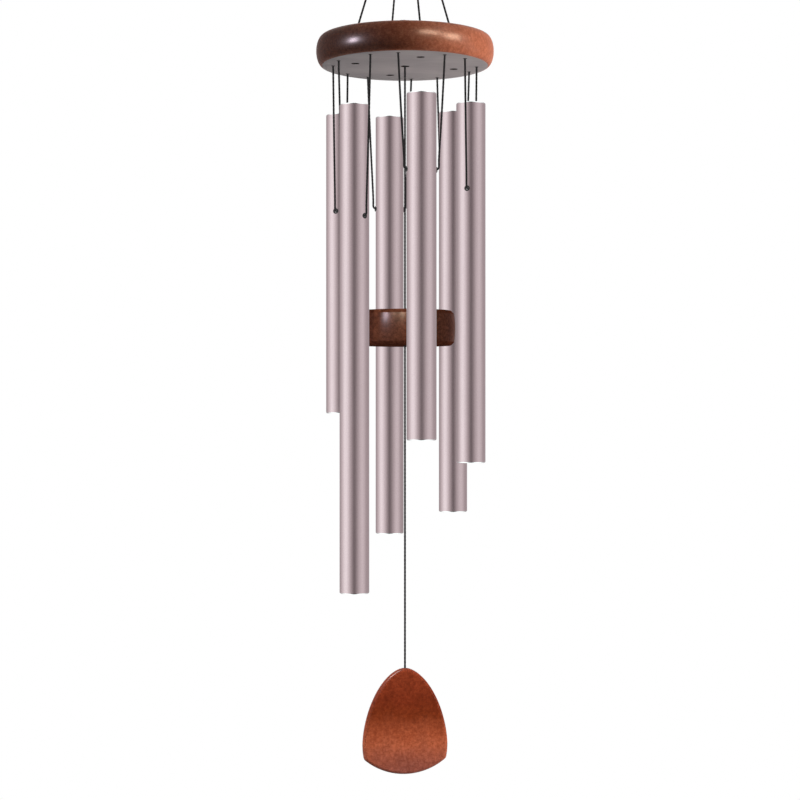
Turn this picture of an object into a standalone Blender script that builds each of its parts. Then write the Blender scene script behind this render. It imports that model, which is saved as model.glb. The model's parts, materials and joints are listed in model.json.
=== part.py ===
"""Wind chime: a turned wood disc on four cords, six tubes, a striker and a sail.

Metres, +Z up. The origin is where a hook would touch the hanging ring, at the
ring's inner top, and -Y is the front. Angles round the chime are measured from
the front, positive towards +X.
"""

import math

import bmesh
import bpy

# Cord and the gap between pieces that touch
CORD_RADIUS = 0.0009
GAP = 0.0003

# Hanging ring and the lashing that gathers the hanger cords
RING_INNER_RADIUS = 0.011
RING_WIRE_RADIUS = 0.0015
RING_WIRE_Z = -2 * RING_INNER_RADIUS - RING_WIRE_RADIUS
LOOP_RADIUS = RING_WIRE_RADIUS + CORD_RADIUS + 0.00035
LOOP_OFFSET = 0.0012
LOOP_TUCK = LOOP_RADIUS * 0.6
LASHING_TOP_Z = RING_WIRE_Z - 0.0068
LASHING_HEIGHT = 0.010
LASHING_RADIUS = 0.0042
LASHING_PIVOT_Z = LASHING_TOP_Z - LASHING_HEIGHT - GAP

# Top disc
DISC_TOP_Z = -0.180
DISC_THICKNESS = 0.025
DISC_RADIUS = 0.07675
DISC_FLAT_RADIUS = 0.071
DISC_BOTTOM_Z = DISC_TOP_Z - DISC_THICKNESS
CORD_HOLE_RADIUS = 0.0015
COUNTERBORE_RADIUS = 0.0033
COUNTERBORE_DEPTH = 0.0048

# Hanger cords and their stop knots
HANGER_HOLE_RADIUS = 0.0445
HANGER_ANGLES = [math.radians(17 + 90 * quarter) for quarter in range(4)]
HANGER_START_RADIUS = 0.0016
HANGER_BEND_SIDE = 0.0011
HANGER_BEND_RISE = 0.0035
KNOT_RADIUS = 0.0026

# Tubes: angle in degrees, drop below the disc, length, and the cross holes' depth
TUBE_CIRCLE_RADIUS = 0.0588
TUBE_RADIUS = 0.0125
TUBE_WALL = 0.0015
TUBE_CHAMFER = 0.0012
TUBE_HOLE_RADIUS = 0.0021
TUBES = [
    (13.4, 0.0327, 0.2896, 0.0637),
    (73.4, 0.0347, 0.3076, 0.0741),
    (133.4, 0.0334, 0.3543, 0.0783),
    (193.4, 0.0351, 0.3731, 0.0825),
    (253.4, 0.0395, 0.2608, 0.0852),
    (313.4, 0.0397, 0.4119, 0.0946),
]
TUBE_CORD_SPREAD = 0.0200
TUBE_CORD_BEND = 0.0025
TUBE_CORD_LIFT = 0.0002
BRIDGE_BEND = 0.0018
BRIDGE_EDGE = 0.0004

# Grommets in the tubes' cross holes
GROMMET_BORE_RADIUS = 0.0014
GROMMET_BARREL_RADIUS = 0.0018
GROMMET_FLANGE_RADIUS = 0.0024
GROMMET_FLANGE_THICKNESS = 0.0005

# Striker
STRIKER_RADIUS = 0.0435
STRIKER_THICKNESS = 0.030
STRIKER_CORNER = 0.0035
STRIKER_CROWN = 0.0008
STRIKER_TOP_Z = -0.41655
STRIKER_BOTTOM_Z = STRIKER_TOP_Z - STRIKER_THICKNESS
SEAT_RADIUS = 0.0036
SEAT_DEPTH = 0.0061
PIVOT_KNOT_Z = DISC_BOTTOM_Z + SEAT_DEPTH - KNOT_RADIUS - GAP
STRIKER_KNOT_Z = STRIKER_BOTTOM_Z + SEAT_DEPTH - KNOT_RADIUS - GAP

# Sail
SAIL_TOP_Z = -0.7255
SAIL_HALF_WIDTH = 0.037
SAIL_SHOULDER_DROP = 0.0666
SAIL_CORNER_DROP = 0.0775
SAIL_CORNER_HALF_WIDTH = 0.0358
SAIL_HEIGHT = 0.0913
SAIL_THICKNESS = 0.0095
SAIL_EDGE_RADIUS = 0.0030
SAIL_YAW = math.radians(9)
SAIL_BORE_DEPTH = 0.0096
SAIL_CURVE_ACROSS = 1.8
SAIL_CURVE_DOWN = 1.75


def clear_scene():
    for item in list(bpy.data.objects):
        bpy.data.objects.remove(item, do_unlink=True)


def collection(name):
    made = bpy.data.collections.new(name)
    bpy.context.scene.collection.children.link(made)
    return made


def material(name, colour, roughness, metallic=0.0):
    made = bpy.data.materials.new(name)
    made.use_nodes = True
    shader = made.node_tree.nodes["Principled BSDF"]
    shader.inputs["Base Color"].default_value = (*colour, 1.0)
    shader.inputs["Roughness"].default_value = roughness
    shader.inputs["Metallic"].default_value = metallic
    made.diffuse_color = (*colour, 1.0)
    return made


def put(item, name, finish, parent, location=(0, 0, 0), rotation=(0, 0, 0), group=None):
    """Name an object, give it its material and place it under its parent."""
    item.name = name
    for holder in list(item.users_collection):
        holder.objects.unlink(item)
    (group or PARTS).objects.link(item)
    if finish:
        item.data.materials.clear()
        item.data.materials.append(finish)
    item.parent = parent
    item.location = location
    item.rotation_euler = rotation
    return item


def pivot(name, parent, location, turn=0.0):
    """An empty on a joint's axis, which carries the pieces that move there."""
    item = bpy.data.objects.new(name, None)
    item.empty_display_size = 0.01
    return put(item, name, None, parent, location, (0, 0, turn))


def turned(name, profile, segments, finish, parent, closed=False, **where):
    """A shape turned round local Z; the profile runs down its outer side."""
    mesh = bpy.data.meshes.new(name)
    count = len(profile)
    edges = [(i, (i + 1) % count) for i in range(count if closed else count - 1)]
    mesh.from_pydata([(radius, 0, z) for radius, z in profile], edges, [])
    item = bpy.data.objects.new(name, mesh)
    put(item, name, finish, parent, **where)
    screw = item.modifiers.new("Turn", "SCREW")
    screw.steps = segments
    screw.render_steps = segments
    screw.use_merge_vertices = True
    screw.merge_threshold = 0.00001
    screw.use_smooth_shade = True
    return item


def smooth_route(points, steps):
    """Points on a centripetal Catmull-Rom curve through a cord's route."""
    ends = [
        tuple(2 * a - b for a, b in zip(points[0], points[1], strict=True)),
        tuple(2 * a - b for a, b in zip(points[-1], points[-2], strict=True)),
    ]
    keys = [ends[0], *points, ends[1]]
    route = []
    for i in range(1, len(keys) - 2):
        four = keys[i - 1 : i + 3]
        knots = [0.0]
        for a, b in zip(four, four[1:], strict=False):
            knots.append(knots[-1] + math.sqrt(math.dist(a, b)))
        for step in range(steps):
            route.append(curve_point(four, knots, step / steps))
    return [*route, points[-1]]


def curve_point(four, knots, share):
    """One point between the middle two of four points, by Barry and Goldman."""
    at = knots[1] + share * (knots[2] - knots[1])
    layer = list(four)
    for reach in (1, 2, 3):
        layer = [
            blend_pair(layer[i], layer[i + 1], knots, i, reach, at)
            for i in range(len(layer) - 1)
        ]
    return layer[0]


def blend_pair(a, b, knots, i, reach, at):
    """Between two points of a layer; the last layer spans the middle knots."""
    low, high = (knots[1], knots[2]) if reach == 3 else (knots[i], knots[i + reach])
    share = (at - low) / (high - low)
    return tuple(p + share * (q - p) for p, q in zip(a, b, strict=True))


def cord(name, points, parent, finish, radius=CORD_RADIUS):
    """A cord along a list of points, as a curve with filled ends."""
    data = bpy.data.curves.new(name, "CURVE")
    data.dimensions = "3D"
    data.bevel_depth = radius
    data.bevel_resolution = 2
    data.use_fill_caps = True
    spline = data.splines.new("POLY")
    spline.points.add(len(points) - 1)
    for place, point in zip(spline.points, points, strict=True):
        place.co = (*point, 1)
        place.radius = 1
    spline.use_smooth = True
    return put(bpy.data.objects.new(name, data), name, finish, parent)


def cylinder_cutter(name, radius, depth, parent, location, rotation=(0, 0, 0)):
    bpy.ops.mesh.primitive_cylinder_add(vertices=10, radius=radius, depth=depth)
    item = bpy.context.object
    put(item, name, None, parent, location, rotation, CUTTERS)
    item.hide_render = True
    item.display_type = "WIRE"
    return item


def cut(item, cutter):
    boolean = item.modifiers.new("Cut " + cutter.name, "BOOLEAN")
    boolean.operation = "DIFFERENCE"
    boolean.solver = "EXACT"
    boolean.object = cutter


def knot(name, parent, z, finish, x=0.0, y=0.0):
    """A small round stopper knot."""
    bpy.ops.mesh.primitive_uv_sphere_add(segments=10, ring_count=6, radius=KNOT_RADIUS)
    item = bpy.context.object
    item.data.shade_smooth()
    return put(item, name, finish, parent, (x, y, z))


def around(angle, radius):
    """A point at an angle from the front, at a radius from the chime's axis."""
    return (radius * math.sin(angle), -radius * math.cos(angle))


def hanging_ring():
    bpy.ops.mesh.primitive_torus_add(
        major_radius=RING_INNER_RADIUS + RING_WIRE_RADIUS,
        minor_radius=RING_WIRE_RADIUS,
        major_segments=32,
        minor_segments=8,
    )
    item = bpy.context.object
    item.data.shade_smooth()
    upright = (math.pi / 2, 0, 0)
    put(item, "hanging_ring", STEEL, None, (0, 0, -RING_INNER_RADIUS), upright)


def hanger_loop(name, x, parent):
    """A cord over the ring's lower wire, from the lashing and back to it."""
    foot = LASHING_TOP_Z + GAP - RING_WIRE_Z
    route = [(x, -LOOP_TUCK, foot)]
    for step in range(7):
        angle = math.pi * step / 6 - math.pi / 2
        route.append((x, LOOP_RADIUS * math.sin(angle), LOOP_RADIUS * math.cos(angle)))
    route.append((x, LOOP_TUCK, foot))
    cord(name, smooth_route(route, 2), parent, CORD)


def hanger_lashing(parent):
    """The wound barrel that grips all four hanger cords below the ring."""
    shoulder = 0.0012
    top = LASHING_TOP_Z - RING_WIRE_Z
    bottom = top - LASHING_HEIGHT
    profile = [
        (0, top),
        (LASHING_RADIUS - shoulder, top),
        (LASHING_RADIUS, top - shoulder),
        (LASHING_RADIUS, bottom + shoulder),
        (LASHING_RADIUS - shoulder, bottom),
        (0, bottom),
    ]
    turned("hanger_lashing", profile, 16, CORD, parent)


def top_disc(parent, stations):
    """The disc, with its edge a half ellipse and a seat for the centre knot."""
    top = DISC_TOP_Z - LASHING_PIVOT_Z
    bottom = DISC_BOTTOM_Z - LASHING_PIVOT_Z
    middle = (top + bottom) / 2
    bulge = DISC_RADIUS - DISC_FLAT_RADIUS
    spans = 8
    profile = [(CORD_HOLE_RADIUS, top)]
    for step in range(spans + 1):
        angle = math.pi * (step / spans - 0.5)
        profile.append(
            (
                DISC_FLAT_RADIUS + bulge * math.cos(angle),
                middle - DISC_THICKNESS / 2 * math.sin(angle),
            )
        )
    profile += [
        (SEAT_RADIUS, bottom),
        (SEAT_RADIUS, bottom + SEAT_DEPTH),
        (CORD_HOLE_RADIUS, bottom + SEAT_DEPTH),
    ]
    disc = turned("top_disc", profile, 56, WOOD, parent, closed=True)
    through = 2 * DISC_THICKNESS
    for number, station in enumerate(stations, 1):
        for side in (-1, 1):
            name = f"cutter_tube_cord_{number}_{side + 1}"
            place = (side * TUBE_CORD_SPREAD, 0, 0)
            cut(disc, cylinder_cutter(name, CORD_HOLE_RADIUS, through, station, place))
    for number, angle in enumerate(HANGER_ANGLES, 1):
        x, y = around(angle, HANGER_HOLE_RADIUS)
        name = f"cutter_hanger_{number}"
        cut(disc, cylinder_cutter(name, CORD_HOLE_RADIUS, through, parent, (x, y, middle)))
        name = f"cutter_counterbore_{number}"
        deep = 2 * COUNTERBORE_DEPTH
        cut(disc, cylinder_cutter(name, COUNTERBORE_RADIUS, deep, parent, (x, y, bottom)))


def hanger_cord(number, angle, parent):
    """From the lashing out to the disc, down through it, to its stop knot."""
    disc_top = DISC_TOP_Z - LASHING_PIVOT_Z
    disc_bottom = DISC_BOTTOM_Z - LASHING_PIVOT_Z
    knot_z = disc_bottom + COUNTERBORE_DEPTH - KNOT_RADIUS - GAP
    reach = HANGER_HOLE_RADIUS - HANGER_START_RADIUS
    stations = [
        (HANGER_START_RADIUS, -GAP),
        (HANGER_START_RADIUS + reach / 3, disc_top / 3),
        (HANGER_START_RADIUS + reach * 2 / 3, disc_top * 2 / 3),
        (HANGER_HOLE_RADIUS - HANGER_BEND_SIDE, disc_top + HANGER_BEND_RISE),
        (HANGER_HOLE_RADIUS, disc_top - GAP),
        (HANGER_HOLE_RADIUS, knot_z + KNOT_RADIUS + GAP),
    ]
    route = [(*around(angle, radius), z) for radius, z in stations]
    cord(f"hanger_cord_{number}", smooth_route(route, 2), parent, CORD)
    x, y = around(angle, HANGER_HOLE_RADIUS)
    knot(f"hanger_knot_{number}", parent, knot_z, CORD, x, y)


def cord_bridge(number, station):
    """The cord's top run, out of one disc hole and into the other."""
    spread = TUBE_CORD_SPREAD
    rise = DISC_THICKNESS + CORD_RADIUS + GAP
    half = [
        (spread, 0, GAP),
        (spread, 0, DISC_THICKNESS - BRIDGE_BEND),
        (spread - BRIDGE_EDGE, 0, DISC_THICKNESS),
        (spread - BRIDGE_BEND, 0, rise),
    ]
    route = half + [(0, 0, rise)] + [(-x, y, z) for x, y, z in reversed(half)]
    cord(f"tube_cord_bridge_{number}", smooth_route(route, 2), station, CORD)


def tube_cord(number, swing, drop_to_hole):
    """Down from the disc, through both grommets of the tube, and up again."""
    run_z = -drop_to_hole + TUBE_CORD_LIFT
    bend_x = TUBE_RADIUS
    leg_x = bend_x + TUBE_CORD_BEND
    spread = TUBE_CORD_SPREAD
    half = [(spread, 0, -GAP), ((spread + leg_x) / 2, 0, run_z / 2)]
    half.append((leg_x, 0, run_z + 3 * TUBE_CORD_BEND))
    for step in range(5):
        angle = math.radians(22.5 * step)
        x = bend_x + TUBE_CORD_BEND * math.cos(angle)
        z = run_z + TUBE_CORD_BEND * (1 - math.sin(angle))
        half.append((x, 0, z))
    route = half + [(0, 0, run_z)] + [(-x, y, z) for x, y, z in reversed(half)]
    cord(f"tube_cord_{number}", smooth_route(route, 1), swing, CORD)


def tube(number, rock, length, top):
    """A tube whose origin is on the line through its two cross holes."""
    bottom = top - length
    inner = TUBE_RADIUS - TUBE_WALL
    profile = [
        (inner, top),
        (TUBE_RADIUS - TUBE_CHAMFER, top),
        (TUBE_RADIUS, top - TUBE_CHAMFER),
        (TUBE_RADIUS, bottom + TUBE_CHAMFER),
        (TUBE_RADIUS - TUBE_CHAMFER, bottom),
        (inner, bottom),
    ]
    item = turned(f"tube_{number}", profile, 28, ALUMINIUM, rock, closed=True)
    sideways = (0, math.pi / 2, 0)
    cutter = cylinder_cutter(
        f"cutter_tube_{number}", TUBE_HOLE_RADIUS, 3 * TUBE_RADIUS, rock, (0, 0, 0), sideways
    )
    cut(item, cutter)


def grommet(name, rock, side):
    """A flanged bush in one cross hole, turned round the line through both."""
    outside = TUBE_RADIUS + GAP + GROMMET_FLANGE_THICKNESS
    inside = TUBE_RADIUS - TUBE_WALL - GAP
    profile = [
        (GROMMET_BORE_RADIUS, outside),
        (GROMMET_FLANGE_RADIUS, outside),
        (GROMMET_FLANGE_RADIUS, outside - GROMMET_FLANGE_THICKNESS),
        (GROMMET_BARREL_RADIUS, outside - GROMMET_FLANGE_THICKNESS),
        (GROMMET_BARREL_RADIUS, inside),
        (GROMMET_BORE_RADIUS, inside),
    ]
    sideways = (0, side * math.pi / 2, 0)
    turned(name, profile, 10, RUBBER, rock, closed=True, rotation=sideways)


def striker(parent):
    """The turned striker, its side slightly crowned, with a seat for its knot."""
    top = STRIKER_TOP_Z - PIVOT_KNOT_Z
    bottom = STRIKER_BOTTOM_Z - PIVOT_KNOT_Z
    middle = (top + bottom) / 2
    edge = STRIKER_RADIUS - STRIKER_CROWN
    profile = [
        (CORD_HOLE_RADIUS, top),
        (edge - STRIKER_CORNER, top),
        (edge - STRIKER_CORNER * 0.3, top - STRIKER_CORNER * 0.3),
        (edge, top - STRIKER_CORNER),
        (STRIKER_RADIUS, middle),
        (edge, bottom + STRIKER_CORNER),
        (edge - STRIKER_CORNER * 0.3, bottom + STRIKER_CORNER * 0.3),
        (edge - STRIKER_CORNER, bottom),
        (SEAT_RADIUS, bottom),
        (SEAT_RADIUS, bottom + SEAT_DEPTH),
        (CORD_HOLE_RADIUS, bottom + SEAT_DEPTH),
    ]
    turned("striker", profile, 44, DARK_WOOD, parent, closed=True)


def sail_outline():
    """Half widths and drops down the right side, then the rounded bottom."""
    side = []
    for step in range(1, 11):
        drop = SAIL_SHOULDER_DROP * (step / 10) ** 1.6
        up = 1 - drop / SAIL_SHOULDER_DROP
        across = (1 - up**SAIL_CURVE_DOWN) ** (1 / SAIL_CURVE_ACROSS)
        side.append((SAIL_HALF_WIDTH * across, -drop))
    corner = [
        (SAIL_HALF_WIDTH - 0.0003, -(SAIL_CORNER_DROP + SAIL_SHOULDER_DROP) / 2),
        (SAIL_CORNER_HALF_WIDTH, -SAIL_CORNER_DROP),
        (SAIL_CORNER_HALF_WIDTH - 0.0016, -SAIL_CORNER_DROP - 0.0018),
    ]
    start_x, start_z = corner[-1]
    sag = SAIL_HEIGHT + start_z
    arc_radius = (start_x**2 + sag**2) / (2 * sag)
    widest = math.asin(start_x / arc_radius)
    bottom = []
    for step in range(1, 6):
        angle = widest * (1 - step / 5)
        bottom.append(
            (arc_radius * math.sin(angle), -SAIL_HEIGHT + arc_radius * (1 - math.cos(angle)))
        )
    return [(0, 0), *side, *corner, *bottom]


def sail(parent):
    """A flat shield with rounded edges and a bore for the cord in its top."""
    right = sail_outline()
    outline = right + [(-x, z) for x, z in reversed(right[1:-1])]
    data = bpy.data.curves.new("sail_outline", "CURVE")
    data.dimensions = "2D"
    data.fill_mode = "BOTH"
    data.extrude = SAIL_THICKNESS / 2
    spline = data.splines.new("POLY")
    spline.points.add(len(outline) - 1)
    for place, (x, z) in zip(spline.points, outline, strict=True):
        place.co = (x, z, 0, 1)
    spline.use_cyclic_u = True
    drawn = bpy.data.objects.new("sail_outline", data)
    PARTS.objects.link(drawn)
    graph = bpy.context.evaluated_depsgraph_get()
    mesh = bpy.data.meshes.new_from_object(drawn.evaluated_get(graph))
    bpy.data.objects.remove(drawn)
    shape = bmesh.new()
    shape.from_mesh(mesh)
    bmesh.ops.remove_doubles(shape, verts=shape.verts, dist=0.00001)
    bmesh.ops.dissolve_limit(
        shape, angle_limit=math.radians(1), verts=shape.verts, edges=shape.edges
    )
    bmesh.ops.recalc_face_normals(shape, faces=shape.faces)
    shape.to_mesh(mesh)
    shape.free()
    mesh.name = "sail"
    item = bpy.data.objects.new("sail", mesh)
    put(item, "sail", SAIL_WOOD, parent, rotation=(math.pi / 2, 0, SAIL_YAW))
    bevel = item.modifiers.new("Rounded edge", "BEVEL")
    bevel.width = SAIL_EDGE_RADIUS
    bevel.segments = 2
    bevel.limit_method = "ANGLE"
    bevel.angle_limit = math.radians(50)
    deep = 2 * SAIL_BORE_DEPTH
    cut(item, cylinder_cutter("cutter_sail", CORD_HOLE_RADIUS, deep, parent, (0, 0, 0)))


def build():
    hanging_ring()
    link = pivot("hanger_link_pivot", None, (0, 0, RING_WIRE_Z))
    hanger_loop("hanger_loop_left", -LOOP_OFFSET, link)
    hanger_loop("hanger_loop_right", LOOP_OFFSET, link)
    hanger_lashing(link)

    canopy = pivot("canopy_pivot", link, (0, 0, LASHING_PIVOT_Z - RING_WIRE_Z))
    stations = []
    for number, (degrees, drop, length, hole_depth) in enumerate(TUBES, 1):
        angle = math.radians(degrees)
        x, y = around(angle, TUBE_CIRCLE_RADIUS)
        down = DISC_BOTTOM_Z - LASHING_PIVOT_Z
        station = pivot(f"tube_{number}_swing_pivot", canopy, (x, y, down), angle)
        stations.append(station)
        hole_drop = drop + hole_depth
        cord_bridge(number, station)
        tube_cord(number, station, hole_drop)
        rock = pivot(f"tube_{number}_rock_pivot", station, (0, 0, -hole_drop))
        tube(number, rock, length, hole_depth)
        grommet(f"grommet_{number}a", rock, 1)
        grommet(f"grommet_{number}b", rock, -1)
    for number, angle in enumerate(HANGER_ANGLES, 1):
        hanger_cord(number, angle, canopy)
    top_disc(canopy, stations)

    top = DISC_TOP_Z - LASHING_PIVOT_Z
    knot("centre_top_knot", canopy, top + GAP + KNOT_RADIUS, CORD)
    seat_z = PIVOT_KNOT_Z - LASHING_PIVOT_Z
    stub = [(0, 0, top), (0, 0, seat_z + KNOT_RADIUS + GAP)]
    cord("centre_cord_upper", stub, canopy, CORD)

    centre = pivot("striker_pivot", canopy, (0, 0, seat_z))
    knot("centre_pivot_knot", centre, 0, CORD)
    hang = STRIKER_KNOT_Z - PIVOT_KNOT_Z
    line = [(0, 0, -KNOT_RADIUS - GAP), (0, 0, hang + KNOT_RADIUS + GAP)]
    cord("striker_cord", line, centre, CORD)
    striker(centre)

    sail_line = pivot("sail_line_pivot", centre, (0, 0, hang))
    knot("striker_knot", sail_line, 0, CORD)
    fall = SAIL_TOP_Z - STRIKER_KNOT_Z
    line = [(0, 0, -KNOT_RADIUS - GAP), (0, 0, fall - SAIL_BORE_DEPTH + 2 * GAP)]
    cord("sail_cord", line, sail_line, CORD)
    sail(pivot("sail_spin_pivot", sail_line, (0, 0, fall)))


clear_scene()
PARTS = collection("wind_chime")
CUTTERS = collection("cutters")
WOOD = material("stained_wood", (0.30, 0.11, 0.05), 0.35)
DARK_WOOD = material("dark_stained_wood", (0.14, 0.05, 0.03), 0.35)
SAIL_WOOD = material("sail_wood", (0.34, 0.11, 0.05), 0.45)
ALUMINIUM = material("anodised_aluminium", (0.62, 0.52, 0.54), 0.35, 1.0)
CORD = material("black_cord", (0.02, 0.02, 0.02), 0.8)
RUBBER = material("black_rubber", (0.03, 0.03, 0.03), 0.6)
STEEL = material("plated_steel", (0.55, 0.55, 0.56), 0.25, 1.0)
build()
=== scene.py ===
"""The wind chime's looks: detailed pieces, materials, light and camera, round the CAD frame.

Metres, +Z up, -Y to the front. The CAD frame gives every place; angles round the
chime are measured from the front, positive towards +X.
"""

import json
import math

import bmesh
import bpy
from mathutils import Matrix, Vector

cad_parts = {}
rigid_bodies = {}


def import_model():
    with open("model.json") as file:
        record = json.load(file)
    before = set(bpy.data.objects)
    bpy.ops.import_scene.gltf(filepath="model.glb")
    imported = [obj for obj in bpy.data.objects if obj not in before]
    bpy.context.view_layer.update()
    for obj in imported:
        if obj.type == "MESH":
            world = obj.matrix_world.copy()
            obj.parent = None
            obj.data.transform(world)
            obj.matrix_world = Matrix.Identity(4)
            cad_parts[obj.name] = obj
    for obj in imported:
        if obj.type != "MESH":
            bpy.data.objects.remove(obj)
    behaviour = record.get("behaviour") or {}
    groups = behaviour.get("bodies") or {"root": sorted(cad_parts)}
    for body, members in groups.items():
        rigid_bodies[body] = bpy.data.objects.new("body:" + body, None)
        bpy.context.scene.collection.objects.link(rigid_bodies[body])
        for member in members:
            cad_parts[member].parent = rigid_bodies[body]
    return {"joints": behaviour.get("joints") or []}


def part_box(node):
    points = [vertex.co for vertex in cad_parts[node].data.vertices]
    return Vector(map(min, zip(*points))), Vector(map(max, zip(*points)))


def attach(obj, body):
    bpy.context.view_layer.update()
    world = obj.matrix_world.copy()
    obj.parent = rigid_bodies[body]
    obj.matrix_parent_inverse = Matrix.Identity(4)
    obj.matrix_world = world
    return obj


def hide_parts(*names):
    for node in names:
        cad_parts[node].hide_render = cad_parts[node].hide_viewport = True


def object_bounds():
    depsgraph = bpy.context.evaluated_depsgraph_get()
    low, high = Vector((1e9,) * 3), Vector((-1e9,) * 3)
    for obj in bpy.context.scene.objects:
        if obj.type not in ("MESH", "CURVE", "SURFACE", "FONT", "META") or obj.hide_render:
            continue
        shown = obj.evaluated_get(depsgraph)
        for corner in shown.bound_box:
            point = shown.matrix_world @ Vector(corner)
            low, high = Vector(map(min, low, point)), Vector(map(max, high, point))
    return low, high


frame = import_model()
CAD_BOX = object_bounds()
JOINTS = {joint["name"]: joint for joint in frame["joints"]}
TUBE_NUMBERS = range(1, 7)

# Cords: radius, the spacing of their rings, their sides and their braid
CORD_RADIUS = 0.0009
RING_SPACING = 0.0004
CORD_SIDES = 16
BRAID_DEPTH = 0.09
BRAID_PITCH = 0.0034
BRAID_STRANDS = 4

# The cords' routes, as the CAD source has them
TUBE_CORD_SPREAD = 0.0200
TUBE_CORD_BEND = 0.0025
TUBE_CORD_LIFT = 0.0002
LOOP_RADIUS = 0.00275
LOOP_OFFSET = 0.0012
HANGER_ANGLES = tuple(math.radians(17 + 90 * quarter) for quarter in range(4))
HANGER_START_RADIUS = 0.0016
HANGER_BEND_SIDE = 0.0011
HANGER_BEND_RISE = 0.0035

# Shapes that the frame's boxes don't give
TUBE_RADIUS = 0.0125
TUBE_WALL = 0.0015
TUBE_LIP = 0.0012
TUBE_INNER_LIP = 0.0002
TUBE_HOLE_RADIUS = 0.0021
DISC_BULGE = 0.00575
HOLE_RADIUS = 0.0015
HOLE_CHAMFER = 0.0003
COUNTERBORE_RADIUS = 0.0033
COUNTERBORE_DEPTH = 0.0048
SEAT_RADIUS = 0.0036
SEAT_DEPTH = 0.0061
STRIKER_CORNER = 0.0032
STRIKER_SOFT = 0.0006
STRIKER_CROWN = 0.0008
SAIL_HALF_WIDTH = 0.037
SAIL_THICKNESS = 0.0095
# The sail's widest place and lower corner, as shares of its height and half width
SAIL_SHOULDER_DROP = 0.729
SAIL_CORNER_DROP = 0.849
SAIL_CORNER_HALF_WIDTH = 0.968
SAIL_CURVE_ACROSS = 1.8
SAIL_CURVE_DOWN = 1.75
SAIL_EDGE_RADIUS = 0.0030
SAIL_BORE_DEPTH = 0.0096
SAIL_YAW = math.radians(9)
GROMMET_BORE = 0.0014
GROMMET_BARREL = 0.0018
GROMMET_FLANGE = 0.0024
GROMMET_FLANGE_THICKNESS = 0.0005
GROMMET_SOFT = 0.00024
GROMMET_TIP_SOFT = 0.0001
GROMMET_GAP = 0.0003
LASHING_STRAND = 0.00068
LASHING_TURNS = 7
KNOT_SIZE = 0.0027

# Light: its distance, and the surround's level for gloss by bearing from the front
SURROUND = (
    (-180, 0.42),
    (-140, 0.40),
    (-104, 0.72),
    (-76, 1.16),
    (-56, 1.04),
    (-37, 0.67),
    (-18, 0.39),
    (0, 0.08),
    (18, 0.34),
    (37, 0.59),
    (56, 0.77),
    (76, 0.76),
    (104, 0.46),
    (140, 0.44),
    (180, 0.42),
)
# The rise, as a sine, over which the surround turns into the bands overhead
OVERHEAD_RISE = (0.40, 0.75)
OVERHEAD = ((-180, 1.3), (-48, 1.3), (-24, 0.03), (24, 0.03), (48, 1.3), (180, 1.3))
WHITE, WARM, AMBER, LILAC = (1, 1, 1), (1.0, 0.95, 0.90), (1.0, 0.72, 0.52), (1.0, 0.84, 0.97)
FLOOR_RADIUS = 0.95
FLOOR_DROP = 0.5
# Name, lit piece or "", bearing, rise, distance, size, watts, colour, seen in gloss
LIGHTS = (
    ("key", "", 74, 8, 2.2, (1.1, 1.1), 9, WARM, False),
    ("left_fill", "", -60, 5, 2.2, (1.2, 2.0), 3, WHITE, False),
    ("back_fill", "", 180, 10, 2.2, (2.5, 2.5), 30, WHITE, False),
    ("disc_high", "top_disc_turned", 54, 38, 2.2, (0.8, 0.8), 15, WARM, False),
    ("disc_key", "top_disc_turned", 82, 8, 2.2, (0.8, 0.8), 14, WARM, False),
    ("disc_side", "top_disc_turned", 98, -15, 2.2, (0.8, 0.8), 28, WARM, False),
    ("disc_under", "top_disc_turned", 90, -36, 0.34, (0.1, 0.1), 0.26, WARM, False),
    ("disc_left_gloss", "top_disc_turned", -68, 3, 2.2, (0.4, 0.4), 100, LILAC, True),
    ("disc_right_gloss", "top_disc_turned", 62, 12, 2.2, (0.8, 0.6), 110, AMBER, True),
    ("disc_top_gloss", "top_disc_turned", 32, 20, 2.2, (0.9, 0.5), 95, AMBER, True),
    ("striker_front", "striker_turned", -22, 35, 2.2, (0.5, 0.5), 16, WARM, False),
    ("striker_gloss_1", "striker_turned", -45, 15, 2.2, (0.4, 0.4), 130, LILAC, True),
    ("striker_gloss_2", "striker_turned", -25, 22, 2.2, (0.4, 0.4), 70, AMBER, True),
    ("striker_gloss_3", "striker_turned", -5, 20, 2.2, (0.4, 0.4), 110, AMBER, True),
    ("striker_gloss_4", "striker_turned", 12, 20, 2.2, (0.4, 0.4), 150, AMBER, True),
    ("sail_key", "sail_shield", 74, 8, 2.2, (1.1, 1.1), 46, WARM, False),
    ("sail_front", "sail_shield", -15, 5, 2.2, (1.0, 1.0), 13, WHITE, False),
    ("sail_edge", "sail_shield", -62, 52, 2.2, (0.8, 0.8), 42, WHITE, False),
    ("sail_gloss", "sail_shield", -70, 60, 2.2, (0.8, 0.8), 200, WHITE, True),
)

# Camera: level, a little to the chime's left, and as far off as the photograph's
CAMERA_SIDE = -0.0043
CAMERA_DISTANCE = 1.566
CAMERA_BELOW_DISC = 0.28865
CAMERA_LENS_MM = 81.45
SENSOR_MM = 36.0


# ---------------------------------------------------------------- mesh helpers


def piece(name, points, faces, smooth_angle=35):
    """A new mesh object, shaded smooth but for edges sharper than an angle."""
    mesh = bpy.data.meshes.new(name)
    mesh.from_pydata(points, [], faces)
    mesh.validate()
    item = bpy.data.objects.new(name, mesh)
    bpy.context.scene.collection.objects.link(item)
    finish_shading(item, smooth_angle)
    return item


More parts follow.
